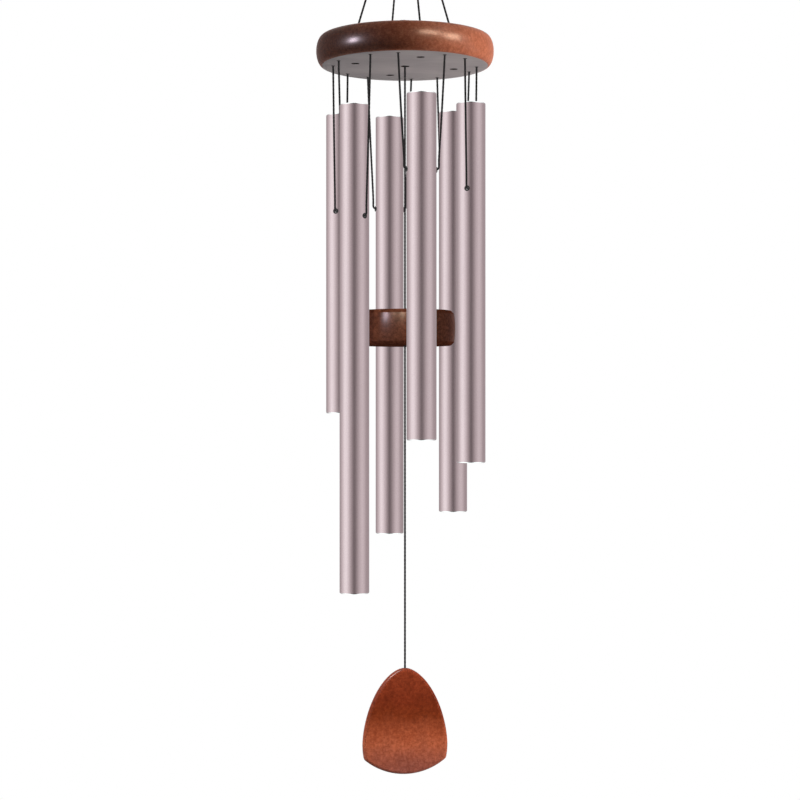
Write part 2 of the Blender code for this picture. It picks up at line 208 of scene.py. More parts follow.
def finish_shading(item, smooth_angle=35):
    """Faces out, and smooth but for sharp edges."""
    shape = bmesh.new()
    shape.from_mesh(item.data)
    bmesh.ops.remove_doubles(shape, verts=shape.verts, dist=0.0000005)
    bmesh.ops.recalc_face_normals(shape, faces=shape.faces)
    shape.to_mesh(item.data)
    shape.free()
    item.data.shade_smooth()
    item.data.set_sharp_from_angle(angle=math.radians(smooth_angle))


def lathe(name, profile, segments, place=None, closed=False):
    """A profile of (radius, height) points turned round Z, then put in place."""
    rings, points = [], []
    for radius, height in profile:
        if radius < 1e-7:
            rings.append([len(points)] * segments)
            points.append((0, 0, height))
            continue
        rings.append(list(range(len(points), len(points) + segments)))
        for step in range(segments):
            angle = 2 * math.pi * step / segments
            points.append((radius * math.cos(angle), radius * math.sin(angle), height))
    faces = []
    pairs = list(zip(rings, rings[1:]))
    if closed:
        pairs.append((rings[-1], rings[0]))
    for upper, lower in pairs:
        for i in range(segments):
            j = (i + 1) % segments
            corners = [upper[i], lower[i], lower[j], upper[j]]
            face = list(dict.fromkeys(corners))
            if len(face) > 2:
                faces.append(face)
    if place is not None:
        points = [tuple(place @ Vector(point)) for point in points]
    return piece(name, points, faces)


def cut_away(item, cutters):
    """Cuts each cutter out of item for good, and removes the cutters."""
    for cutter in cutters:
        boolean = item.modifiers.new("Cut", "BOOLEAN")
        boolean.operation = "DIFFERENCE"
        boolean.solver = "EXACT"
        boolean.object = cutter
    bake_modifiers(item)
    for cutter in cutters:
        bpy.data.objects.remove(cutter, do_unlink=True)


def bake_modifiers(item):
    """Replaces item's mesh by the one that its modifiers make."""
    bpy.context.view_layer.update()
    graph = bpy.context.evaluated_depsgraph_get()
    made = bpy.data.meshes.new_from_object(item.evaluated_get(graph))
    item.modifiers.clear()
    item.data = made
    finish_shading(item)


def hole_cutter(x, y, low, high, radius, flare_low=False, flare_high=False):
    """A round cutter whose ends can flare, to break a hole's edge."""
    profile = [(0, high + 0.002)]
    if flare_high:
        wide = radius + HOLE_CHAMFER
        profile += [(wide, high + 0.002), (wide, high), (radius, high - HOLE_CHAMFER)]
    else:
        profile += [(radius, high + 0.002)]
    if flare_low:
        wide = radius + HOLE_CHAMFER
        profile += [(radius, low + HOLE_CHAMFER), (wide, low), (wide, low - 0.002)]
    else:
        profile += [(radius, low)]
    profile.append((0, profile[-1][1]))
    return lathe("cutter", profile, 28, Matrix.Translation((x, y, 0)))


def arc(centre_radius, centre_height, radius, start, end, steps):
    """Profile points on a round corner, from one angle to another in degrees."""
    points = []
    for step in range(steps + 1):
        angle = math.radians(start + (end - start) * step / steps)
        points.append(
            (
                centre_radius + radius * math.cos(angle),
                centre_height + radius * math.sin(angle),
            )
        )
    return points


def around(angle, radius, height):
    """A point at an angle from the front and a radius from the chime's axis."""
    return (radius * math.sin(angle), -radius * math.cos(angle), height)


# ---------------------------------------------------------------- cords


def smooth_route(points, spacing):
    """Evenly spaced points on a centripetal Catmull-Rom curve through a route."""
    keys = [Vector(point) for point in points]
    keys = [2 * keys[0] - keys[1], *keys, 2 * keys[-1] - keys[-2]]
    dense = []
    for i in range(1, len(keys) - 2):
        four = keys[i - 1 : i + 3]
        knots = [0.0]
        for a, b in zip(four, four[1:]):
            knots.append(knots[-1] + max((b - a).length, 1e-6) ** 0.5)
        steps = max(4, int((four[2] - four[1]).length / spacing) + 1)
        for step in range(steps):
            at = knots[1] + (knots[2] - knots[1]) * step / steps
            dense.append(curve_point(four, knots, at))
    dense.append(keys[-2])
    return even(dense, spacing)


def curve_point(four, knots, at):
    """One point between the middle two of four, by Barry and Goldman's pyramid."""

    def between(a, b, low, high):
        return a + (b - a) * ((at - low) / (high - low))

    k0, k1, k2, k3 = knots
    first = between(four[0], four[1], k0, k1)
    middle = between(four[1], four[2], k1, k2)
    last = between(four[2], four[3], k2, k3)
    return between(between(first, middle, k0, k2), between(middle, last, k1, k3), k1, k2)


def even(points, spacing):
    """The same line with its points evenly spaced."""
    total = sum((b - a).length for a, b in zip(points, points[1:]))
    count = max(2, round(total / spacing))
    step, made, walked, target = total / count, [points[0]], 0.0, total / count
    for a, b in zip(points, points[1:]):
        long = (b - a).length
        while walked + long >= target - 1e-9 and len(made) < count:
            made.append(a + (b - a) * ((target - walked) / long))
            target += step
        walked += long
    return [*made, points[-1]]


def tube_along(name, path, radius_at, sides):
    """A closed tube round a path; radius_at gives its radius by length and angle."""
    forward = (path[1] - path[0]).normalized()
    side = forward.orthogonal().normalized()
    points, walked = [], 0.0
    for i, centre in enumerate(path):
        ahead = path[min(i + 1, len(path) - 1)] - path[max(i - 1, 0)]
        ahead.normalize()
        side = (side - ahead * side.dot(ahead)).normalized()
        up = ahead.cross(side)
        if i:
            walked += (centre - path[i - 1]).length
        for corner in range(sides):
            angle = 2 * math.pi * corner / sides
            radius = radius_at(walked, angle)
            across, along = radius * math.cos(angle), radius * math.sin(angle)
            points.append(centre + side * across + up * along)
    faces = []
    for i in range(len(path) - 1):
        for corner in range(sides):
            beside = (corner + 1) % sides
            a, b = i * sides + corner, i * sides + beside
            faces.append((a, b, b + sides, a + sides))
    faces.append(tuple(range(sides))[::-1])
    faces.append(tuple(range((len(path) - 1) * sides, len(path) * sides)))
    return piece(name, [tuple(point) for point in points], faces, 80)


def braid(radius):
    """The surface of a braided cord: two families of strands that cross."""

    def radius_at(along, angle):
        turn = 2 * math.pi * along / BRAID_PITCH
        left = math.cos(BRAID_STRANDS * angle + turn)
        right = math.cos(BRAID_STRANDS * angle - turn)
        return radius * (1 - BRAID_DEPTH * (1 - max(left, right)) / 1.4)

    return radius_at


def cord_piece(name, route, body, nodes, radius=CORD_RADIUS):
    """A braided cord along a route, riding on a body in place of CAD nodes."""
    path = smooth_route(route, RING_SPACING)
    made = tube_along(name, path, braid(radius), CORD_SIDES)
    dress(made, CORD_MATERIAL, body, nodes)
    return made, path


def dress(made, material, body, nodes=()):
    """Gives a piece its material, body and the CAD nodes it replaces."""
    made.data.materials.clear()
    made.data.materials.append(material)
    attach(made, body)
    if nodes:
        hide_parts(*nodes)


def overhand_knot(name, centre, size, body, node, tail=None):
    """A tight overhand knot that fits a ball of the given radius, with a cut tail."""
    strand = size * 0.30
    scale = (size - strand) / 3
    steps = 90
    path = []
    for step in range(steps):
        t = 2 * math.pi * step / steps
        path.append(
            Vector(
                (
                    scale * (math.sin(t) + 2 * math.sin(2 * t)),
                    scale * (math.cos(t) - 2 * math.cos(2 * t)),
                    -1.5 * scale * math.sin(3 * t),
                )
            )
            + Vector(centre)
        )
    path.append(path[0])
    made = tube_along(name, path, braid(strand), 12)
    extras = [made]
    if tail is not None:
        start = Vector(centre)
        line = smooth_route([start, start + Vector(tail) * 0.6, start + Vector(tail)], RING_SPACING)
        extras.append(tube_along(name + "_tail", line, braid(CORD_RADIUS * 0.9), 12))
    core = lathe(
        name + "_core",
        arc(0, 0, size * 0.55, 90, -90, 10),
        16,
        Matrix.Translation(centre),
    )
    extras.append(core)
    joined = join(extras)
    dress(joined, CORD_MATERIAL, body, [node])
    return joined


def join(items):
    """Joins meshes into the first one's object, which keeps its name."""
    shape = bmesh.new()
    for item in items:
        shape.from_mesh(item.data)
    shape.to_mesh(items[0].data)
    shape.free()
    for item in items[1:]:
        bpy.data.objects.remove(item, do_unlink=True)
    items[0].data.shade_smooth()
    return items[0]


# ---------------------------------------------------------------- materials


class Shader:
    """A material's node tree, with short ways to add and join nodes."""

    def __init__(self, name):
        self.material = bpy.data.materials.new(name)
        self.material.use_nodes = True
        self.tree = self.material.node_tree
        self.surface = self.tree.nodes["Principled BSDF"]
        self.place = self.add("ShaderNodeTexCoord")

    def add(self, kind, **settings):
        made = self.tree.nodes.new(kind)
        for name, value in settings.items():
            setattr(made, name, value)
        return made

    def join(self, source, target):
        self.tree.links.new(source, target)

    def put(self, target, value):
        """Links a socket, or sets a plain value."""
        if isinstance(value, bpy.types.NodeSocket):
            self.join(value, target)
        else:
            target.default_value = value

    def scaled(self, scale, turn=(0, 0, 0)):
        """Object coordinates, turned and then scaled."""
        mapping = self.add("ShaderNodeMapping", vector_type="TEXTURE")
        self.join(self.place.outputs["Object"], mapping.inputs["Vector"])
        mapping.inputs["Rotation"].default_value = turn
        mapping.inputs["Scale"].default_value = tuple(1 / part for part in scale)
        return mapping.outputs["Vector"]

    def noise(self, vector, detail=4.0, roughness=0.55, distortion=0.0):
        made = self.add("ShaderNodeTexNoise")
        self.join(vector, made.inputs["Vector"])
        made.inputs["Scale"].default_value = 1.0
        made.inputs["Detail"].default_value = detail
        made.inputs["Roughness"].default_value = roughness
        made.inputs["Distortion"].default_value = distortion
        return made.outputs["Fac"]

    def ramp(self, value, stops):
        """A colour ramp; each stop is (place, colour or grey)."""
        made = self.add("ShaderNodeValToRGB")
        self.join(value, made.inputs["Fac"])
        band = made.color_ramp
        while len(band.elements) < len(stops):
            band.elements.new(0.5)
        for element, (place, colour) in zip(band.elements, stops):
            element.position = place
            if isinstance(colour, (int, float)):
                colour = (colour, colour, colour)
            element.color = (*colour, 1)
        return made.outputs["Color"]

    def blend(self, mode, factor, first, second):
        made = self.add("ShaderNodeMix", data_type="RGBA", blend_type=mode)
        self.put(made.inputs["Factor"], factor)
        self.put(made.inputs["A"], first)
        self.put(made.inputs["B"], second)
        return made.outputs["Result"]

    def up_the_piece(self):
        """0 at the piece's lowest point and 1 at its highest."""
        parts = self.add("ShaderNodeSeparateXYZ")
        self.join(self.place.outputs["Generated"], parts.inputs["Vector"])
        return parts.outputs["Z"]

    def math(self, operation, first, second=0.0, third=0.0):
        made = self.add("ShaderNodeMath", operation=operation)
        for socket, value in zip(made.inputs, (first, second, third)):
            self.put(socket, value)
        return made.outputs["Value"]

    def spread(self, value, low, high):
        """A 0 to 1 value spread between two limits."""
        made = self.add("ShaderNodeMapRange")
        self.join(value, made.inputs["Value"])
        made.inputs["To Min"].default_value = low
        made.inputs["To Max"].default_value = high
        return made.outputs["Result"]

    def bump(self, height, strength, distance):
        made = self.add("ShaderNodeBump")
        made.inputs["Strength"].default_value = strength
        made.inputs["Distance"].default_value = distance
        self.join(height, made.inputs["Height"])
        self.join(made.outputs["Normal"], self.surface.inputs["Normal"])

    def set(self, **values):
        for name, value in values.items():
            self.put(self.surface.inputs[name.replace("_", " ")], value)


def wood(name, tones, grain_turn, roughness, coat, specular, painted_sheen_by_height=None):
    """Stained, lacquered wood: faint growth bands, fibres, pores and mottled stain, and where
    given, painted sheen and shade by height.
    """
    s = Shader(name)
    bands = s.noise(s.scaled((14, 150, 150), grain_turn), 3.0, 0.5, 0.6)
    fibres = s.noise(s.scaled((120, 1500, 1500), grain_turn), 4.0, 0.6)
    pores = s.noise(s.scaled((500, 2200, 2200), grain_turn), 2.0, 0.5)
    stain = s.noise(s.scaled((70, 90, 90), grain_turn), 3.0, 0.6)
    speck = s.noise(s.scaled((330, 360, 360)), 5.0, 0.78)

    tone = s.math("MULTIPLY_ADD", bands, 0.12, 0.0)
    tone = s.math("MULTIPLY_ADD", fibres, 0.13, tone)
    tone = s.math("MULTIPLY_ADD", speck, 0.75, tone)
    dark, middle, light = tones
    base = s.ramp(tone, [(0.40, dark), (0.50, middle), (0.60, light)])
    base = s.blend("MULTIPLY", 0.5, base, s.ramp(stain, [(0.35, 0.78), (0.65, 1.0)]))
    base = s.blend("MULTIPLY", 0.35, base, s.ramp(pores, [(0.30, 0.35), (0.37, 1.0)]))
    if painted_sheen_by_height:
        # Painted sheen and shade: the colour is multiplied by a ramp up the piece that stands for
        # light and shade falling by height
        height = s.math("MULTIPLY_ADD", stain, 0.20, s.math("SUBTRACT", s.up_the_piece(), 0.05))
        base = s.blend("MULTIPLY", 1.0, base, s.ramp(height, painted_sheen_by_height))
    s.put(s.surface.inputs["Base Color"], base)
    s.put(s.surface.inputs["Roughness"], s.spread(fibres, roughness - 0.06, roughness + 0.08))
    s.surface.inputs["Specular IOR Level"].default_value = specular
    s.surface.inputs["Coat Weight"].default_value = coat
    s.surface.inputs["Coat Roughness"].default_value = 0.22
    height = s.math("MULTIPLY_ADD", pores, 0.6, s.math("MULTIPLY", fibres, 0.4))
    s.bump(height, 0.35, 0.00012)
    return s.material


def underside_finish():
    """The disc's sanded grey underside, with faint saw marks and dust."""
    s = Shader("grey_underside")
    grain = s.noise(s.scaled((30, 700, 700), (0, 0, math.radians(12))), 4.0, 0.6)
    cloud = s.noise(s.scaled((28, 40, 40)), 3.0, 0.5)
    tone = s.math("MULTIPLY_ADD", grain, 0.55, s.math("MULTIPLY", cloud, 0.45))
    low, high = (0.330, 0.290, 0.300), (0.450, 0.405, 0.405)
    s.put(s.surface.inputs["Base Color"], s.ramp(tone, [(0.36, low), (0.64, high)]))
    s.put(s.surface.inputs["Roughness"], s.spread(grain, 0.55, 0.75))
    s.bump(grain, 0.25, 0.0001)
    return s.material


def painted_shade_in_bores():
    """The cord holes' insides, painted near-black as the shade inside them, with a faint grain."""
    s = Shader("bores_painted_shade")
    grain = s.noise(s.scaled((900, 900, 300)), 3.0, 0.6)
    low, high = (0.010, 0.006, 0.005), (0.030, 0.016, 0.012)
    s.put(s.surface.inputs["Base Color"], s.ramp(grain, [(0.35, low), (0.65, high)]))
    s.put(s.surface.inputs["Roughness"], s.spread(grain, 0.7, 0.9))
    s.bump(grain, 0.3, 0.0001)
    return s.material


def tube_coat():
    """Satin pinkish metallic coat, with a fine flake and faint draw lines."""
    s = Shader("rose_metallic_coat")
    flake = s.noise(s.scaled((1700, 1700, 1700)), 1.0, 0.5)
    lines = s.noise(s.scaled((900, 900, 9)), 3.0, 0.6)
    cloud = s.noise(s.scaled((35, 35, 12)), 3.0, 0.5)
    base = s.ramp(flake, [(0.30, (0.72, 0.585, 0.61)), (0.70, (0.82, 0.69, 0.71))])
    streak = s.ramp(lines, [(0.35, 0.90), (0.65, 1.0)])
    base = s.blend("MULTIPLY", 0.6, base, streak)
    s.put(s.surface.inputs["Base Color"], base)
    s.surface.inputs["Metallic"].default_value = 1.0
    s.put(s.surface.inputs["Roughness"], s.spread(cloud, 0.27, 0.35))
    height = s.math("MULTIPLY_ADD", flake, 0.7, s.math("MULTIPLY", lines, 0.3))
    s.bump(height, 0.12, 0.00004)
    return s.material


def cut_end():
    """A tube's rounded outer lip, where the coat is rubbed down to bright metal."""
    s = Shader("bright_cut_end")
    lines = s.noise(s.scaled((1500, 1500, 1500)), 2.0, 0.5)
    s.put(s.surface.inputs["Base Color"], s.ramp(lines, [(0.3, 0.86), (0.7, 0.95)]))
    s.surface.inputs["Metallic"].default_value = 1.0
    s.put(s.surface.inputs["Roughness"], s.spread(lines, 0.12, 0.20))
    return s.material


def bare_aluminium_painted_shade():
    """The uncoated inside of a tube, its bare metal darkened as painted shade inside the bore."""
    s = Shader("bare_aluminium_painted_shade")
    lines = s.noise(s.scaled((1200, 1200, 20)), 3.0, 0.6)
    s.put(s.surface.inputs["Base Color"], s.ramp(lines, [(0.3, 0.42), (0.7, 0.60)]))
    s.surface.inputs["Metallic"].default_value = 1.0
    s.put(s.surface.inputs["Roughness"], s.spread(lines, 0.30, 0.45))
    s.bump(lines, 0.15, 0.00004)
    return s.material


def cord_material():
    s = Shader("braided_cord")
    thread = s.noise(s.scaled((5200, 5200, 2400)), 2.0, 0.6)
    s.put(
        s.surface.inputs["Base Color"],
        s.ramp(thread, [(0.35, (0.008, 0.007, 0.008)), (0.70, (0.040, 0.036, 0.038))]),
    )
    s.put(s.surface.inputs["Roughness"], s.spread(thread, 0.60, 0.85))
    s.surface.inputs["Sheen Weight"].default_value = 0.12
    s.surface.inputs["Sheen Roughness"].default_value = 0.4
    s.bump(thread, 0.5, 0.00006)
    return s.material


def rubber():
    s = Shader("black_rubber")
    grain = s.noise(s.scaled((2600, 2600, 2600)), 3.0, 0.6)
    s.put(s.surface.inputs["Base Color"], s.ramp(grain, [(0.3, 0.010), (0.7, 0.030)]))
    s.put(s.surface.inputs["Roughness"], s.spread(grain, 0.45, 0.65))
    s.bump(grain, 0.2, 0.00004)
    return s.material


def plated_steel():
    s = Shader("plated_steel")
    scratch = s.noise(s.scaled((400, 2600, 400)), 4.0, 0.6)
    cloud = s.noise(s.scaled((120, 120, 120)), 3.0, 0.5)
    s.put(s.surface.inputs["Base Color"], s.ramp(cloud, [(0.3, 0.48), (0.7, 0.66)]))
    s.surface.inputs["Metallic"].default_value = 1.0
    s.put(s.surface.inputs["Roughness"], s.spread(scratch, 0.16, 0.34))
    s.bump(scratch, 0.1, 0.00003)
    return s.material


def plain(name, colour, roughness=0.8, glow=0.0):
    s = Shader(name)
    s.surface.inputs["Base Color"].default_value = (*colour, 1)
    s.surface.inputs["Roughness"].default_value = roughness
    if glow:
        s.surface.inputs["Emission Color"].default_value = (1, 1, 1, 1)
        s.surface.inputs["Emission Strength"].default_value = glow
    return s.material


ALONG_X, ALONG_Z = (0, 0, 0), (0, math.pi / 2, 0)
DISC_WOOD = wood(
    "disc_stained_wood",
    ((0.340, 0.096, 0.048), (0.440, 0.134, 0.068), (0.550, 0.180, 0.096)),
    (0, 0, math.radians(-8)),
    0.34,
    0.12,
    0.05,
)
STRIKER_TONES = ((0.140, 0.044, 0.022), (0.215, 0.072, 0.038), (0.320, 0.112, 0.060))
STRIKER_WOOD = wood("striker_stained_wood", STRIKER_TONES, ALONG_X, 0.34, 0.05, 0.02)
STRIKER_ENDS = wood("striker_matt_ends", STRIKER_TONES, ALONG_X, 0.60, 0.0, 0.0)
SAIL_WOOD_AND_PAINTED_SHEEN = wood(
    "sail_stained_wood_and_painted_sheen",
    ((0.400, 0.090, 0.052), (0.520, 0.125, 0.075), (0.660, 0.170, 0.105)),
    ALONG_Z,
    0.45,
    0.1,
    0.06,
    # Painted sheen and shade by height, from the bottom (0) to the top (1): paler at the bottom, a
    # lighter band at about a third, darker in the upper part
    (
        (0.00, (0.64, 0.80, 1.00)),
        (0.16, (0.73, 0.81, 0.80)),
        (0.34, (0.95, 0.96, 0.72)),
        (0.43, (0.80, 0.72, 0.48)),
        (0.62, (0.42, 0.28, 0.12)),
        (0.76, (0.40, 0.24, 0.12)),
        (1.00, (0.56, 0.38, 0.22)),
    ),
)
UNDERSIDE = underside_finish()
BORE_PAINTED_SHADE = painted_shade_in_bores()
TUBE_COAT = tube_coat()
BARE_ALUMINIUM_PAINTED_SHADE = bare_aluminium_painted_shade()
CUT_END = cut_end()
CORD_MATERIAL = cord_material()
RUBBER = rubber()
STEEL = plated_steel()


# ---------------------------------------------------------------- camera


def make_camera():
    data = bpy.data.cameras.new("camera")
    data.sensor_width = SENSOR_MM
    data.lens = CAMERA_LENS_MM
    camera = bpy.data.objects.new("camera", data)
    disc_low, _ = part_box("top_disc")
    camera.location = (CAMERA_SIDE, -CAMERA_DISTANCE, disc_low[2] - CAMERA_BELOW_DISC)
    camera.rotation_euler = (math.pi / 2, 0, 0)
    bpy.context.scene.collection.objects.link(camera)
    bpy.context.scene.camera = camera


# ---------------------------------------------------------------- the cords


def joint_place(name):
    return Vector(JOINTS[name]["pos_m"])


def make_hanger_cords():
    """Loops over the ring, the lashing, and four cords to the disc."""
    wire = joint_place("chime_swing_front_back")
    low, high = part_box("hanger_lashing")
    for side, name in ((-1, "left"), (1, "right")):
        route = [(side * LOOP_OFFSET * 0.9, -0.0011, (low[2] + high[2]) / 2)]
        route.append((side * LOOP_OFFSET, -LOOP_RADIUS * 0.6, high[2] + 0.0003))
        for step in range(7):
            angle = math.pi * step / 6 - math.pi / 2
            route.append(
                (
                    side * LOOP_OFFSET,
                    LOOP_RADIUS * math.sin(angle),
                    wire.z + LOOP_RADIUS * math.cos(angle),
                )
            )
        route += [(x, -y, z) for x, y, z in reversed(route[:2])]
        cord_piece(f"hanger_loop_{name}_cord", route, "hanger_link", [f"hanger_loop_{name}"])

    _, disc_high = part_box("top_disc")
    for number, angle in enumerate(HANGER_ANGLES, 1):
        cad_low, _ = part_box(f"hanger_cord_{number}")
        hole = math.hypot(*knot_centre(f"hanger_knot_{number}")[:2])
        top, bottom = low[2], disc_high[2]
        reach = hole - HANGER_START_RADIUS
        stations = [
            (HANGER_START_RADIUS * 0.9, top + 0.004),
            (HANGER_START_RADIUS, top - 0.0006),
            (HANGER_START_RADIUS + reach / 3, top + (bottom - top) / 3),
            (HANGER_START_RADIUS + reach * 2 / 3, top + (bottom - top) * 2 / 3),
            (hole - HANGER_BEND_SIDE, bottom + HANGER_BEND_RISE),
            (hole, bottom - 0.0005),
            (hole, cad_low[2] - 0.0008),
        ]
        route = [around(angle, radius, z) for radius, z in stations]
        made, path = cord_piece(
            f"hanger_cord_{number}_braided", route, "canopy", [f"hanger_cord_{number}"]
        )


def knot_centre(node):
    low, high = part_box(node)
    return (low + high) / 2


def make_lashing():
    """Thin cord wound round the four hanger cords, over a dark core."""
    low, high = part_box("hanger_lashing")
    strand, turns = LASHING_STRAND, LASHING_TURNS
    outer = (high[0] - low[0]) / 2
    steps = turns * 30
    bottom, top = low[2] + strand, high[2] - strand
    path = []
    for step in range(steps + 1):
        angle = 2 * math.pi * turns * step / steps
        height = bottom + (top - bottom) * step / steps
        path.append(Vector(around(angle, outer - strand, height)))
    winding = tube_along("hanger_lashing_wound", path, braid(strand), 12)
    core_radius = outer - 1.7 * strand
    core = lathe(
        "core",
        [
            (0, high[2] - 0.0004),
            (core_radius - 0.0006, high[2] - 0.0004),
            (core_radius, high[2] - 0.0012),
            (core_radius, low[2] + 0.0012),
            (core_radius - 0.0006, low[2] + 0.0004),
            (0, low[2] + 0.0004),
        ],
        32,
    )
    dress(join([winding, core]), CORD_MATERIAL, "hanger_link", ["hanger_lashing"])


def tube_cord_route(number):
    """The tube cord's points beside its tube: across, and below the disc."""
    swing = joint_place(f"tube_{number}_swing")
    drop = swing.z - joint_place(f"tube_{number}_rock").z
    spread = TUBE_CORD_SPREAD
    bend = TUBE_RADIUS
    leg = bend + TUBE_CORD_BEND
    run = -drop + TUBE_CORD_LIFT
    half = [(spread, 0.0016), (spread, 0.0), ((spread + leg) / 2, run / 2)]
    half.append((leg, run + 3 * TUBE_CORD_BEND))
    for step in range(5):
        angle = math.radians(22.5 * step)
        half.append(
            (
                bend + TUBE_CORD_BEND * math.cos(angle),
                run + TUBE_CORD_BEND * (1 - math.sin(angle)),
            )
        )
    return half + [(0, run)] + [(-x, z) for x, z in reversed(half)]


def station(number):
    """The matrix of a tube's place under the disc: X along its cord's holes."""
    place = joint_place(f"tube_{number}_swing")
    angle = math.atan2(place.x, -place.y)
    return Matrix.Translation(place) @ Matrix.Rotation(angle, 4, "Z")


def make_tube_cords():
    disc_low, disc_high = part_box("top_disc")
    thick = disc_high[2] - disc_low[2]
    for number in TUBE_NUMBERS:
        spread = TUBE_CORD_SPREAD
        place = station(number)
        rise = thick + CORD_RADIUS + 0.0003
        half = [
            (spread, 0.0003),
            (spread, thick - 0.0018),
            (spread - 0.0004, thick),
            (spread - 0.0018, rise),
        ]
        bridge = half + [(0, rise)] + [(-x, z) for x, z in reversed(half)]
        route = [place @ Vector((x, 0, z)) for x, z in bridge]
        cord_piece(
            f"tube_cord_{number}_top_run", route, "canopy", [f"tube_cord_bridge_{number}"]
        )
        route = [place @ Vector((x, 0, z)) for x, z in tube_cord_route(number)]
        made, path = cord_piece(
            f"tube_cord_{number}_braided", route, f"tube_{number}_line", [f"tube_cord_{number}"]
        )


def make_centre_cords():
    """The cord from the disc to the striker, and from the striker to the sail."""
    pivot = joint_place("striker_swing_sideways")
    seat = joint_place("sail_swing_sideways")
    top_knot = knot_centre("centre_top_knot")
    through = [tuple(top_knot), (0, 0, (top_knot.z + pivot.z) / 2), tuple(pivot)]
    cord_piece("centre_cord_through_disc", through, "canopy", ["centre_cord_upper"])

    down = [tuple(pivot), (0, 0, (pivot.z + seat.z) / 2), tuple(seat)]
    made, path = cord_piece("striker_cord_braided", down, "striker_line", ["striker_cord"])

    low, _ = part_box("sail_cord")
    fall = [tuple(seat), (0, 0, (seat.z + low[2]) / 2), (0, 0, low[2])]
    made, path = cord_piece("sail_cord_braided", fall, "sail_line", ["sail_cord"])


def make_knots():
    for number in range(1, len(HANGER_ANGLES) + 1):
        centre = knot_centre(f"hanger_knot_{number}")
        overhand_knot(
            f"hanger_knot_{number}_tied", centre, KNOT_SIZE, "canopy", f"hanger_knot_{number}"
        )
    overhand_knot(
        "centre_top_knot_tied",
        knot_centre("centre_top_knot"),
        KNOT_SIZE,
        "canopy",
        "centre_top_knot",
        tail=(0.0015, -0.0035, 0.0030),
    )
    for name, body in (("centre_pivot_knot", "striker_pivot"), ("striker_knot", "sail_pivot")):
        overhand_knot(f"{name}_tied", knot_centre(name), KNOT_SIZE, body, name)


# ---------------------------------------------------------------- the solid pieces


def make_ring():
    low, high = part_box("hanging_ring")
    wire = (high[1] - low[1]) / 2
    middle = (low + high) / 2
    profile = arc((high[0] - low[0]) / 2 - wire, 0, wire, 90, -270 + 15, 23)
    upright = Matrix.Translation(middle) @ Matrix.Rotation(math.pi / 2, 4, "X")
    made = lathe("hanging_ring_wire", profile, 120, upright, closed=True)
    dress(made, STEEL, "ring", ["hanging_ring"])


def make_disc():
    """The turned disc: half-elliptical edge, cord holes and knot seats."""
    low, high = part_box("top_disc")
    top, bottom, radius = high[2], low[2], (high[0] - low[0]) / 2
    flat, middle, half = radius - DISC_BULGE, (top + bottom) / 2, (top - bottom) / 2
    profile = [(0, top), (flat * 0.5, top), (flat - 0.004, top)]
    for step in range(29):
        angle = math.pi * (0.5 - step / 28)
        profile.append(
            (flat + DISC_BULGE * math.cos(angle), middle + half * math.sin(angle))
        )
    profile += [(flat - 0.004, bottom), (flat * 0.5, bottom), (0, bottom)]
    made = lathe("top_disc_turned", profile, 192)
    cutters = []
    for number in TUBE_NUMBERS:
        for side in (-1, 1):
            spot = station(number) @ Vector((side * TUBE_CORD_SPREAD, 0, 0))
            cutters.append(hole_cutter(spot.x, spot.y, bottom, top, HOLE_RADIUS, True, True))
    for number in range(1, 5):
        spot = knot_centre(f"hanger_knot_{number}")
        cutters.append(hole_cutter(spot.x, spot.y, bottom, top, HOLE_RADIUS, False, True))
        cutters.append(counterbore(spot.x, spot.y, bottom, COUNTERBORE_RADIUS, COUNTERBORE_DEPTH))
    cutters.append(hole_cutter(0, 0, bottom, top, HOLE_RADIUS, False, True))
    cutters.append(counterbore(0, 0, bottom, SEAT_RADIUS, SEAT_DEPTH))
    cut_away(made, cutters)
    dress(made, DISC_WOOD, "canopy", ["top_disc"])
    made.data.materials.append(UNDERSIDE)
    made.data.materials.append(BORE_PAINTED_SHADE)
    for face in made.data.polygons:
        if face.normal.z < -0.97 and face.center.z < bottom + 0.0004:
            face.material_index = 1
        # The walls of the holes and seats, and the seats' ceilings, take the painted shade
        elif math.hypot(face.center.x, face.center.y) < flat and abs(face.normal.z) < 0.9:
            face.material_index = 2
        elif bottom + 0.001 < face.center.z < top - 0.001 and abs(face.normal.z) > 0.9:
            face.material_index = 2


def counterbore(x, y, bottom, radius, depth):
    wide = radius + HOLE_CHAMFER
    profile = [
        (0, bottom + depth),
        (radius, bottom + depth),
        (radius, bottom + HOLE_CHAMFER),
        (wide, bottom),
        (wide, bottom - 0.002),
        (0, bottom - 0.002),
    ]
    return lathe("cutter", profile, 36, Matrix.Translation((x, y, 0)))


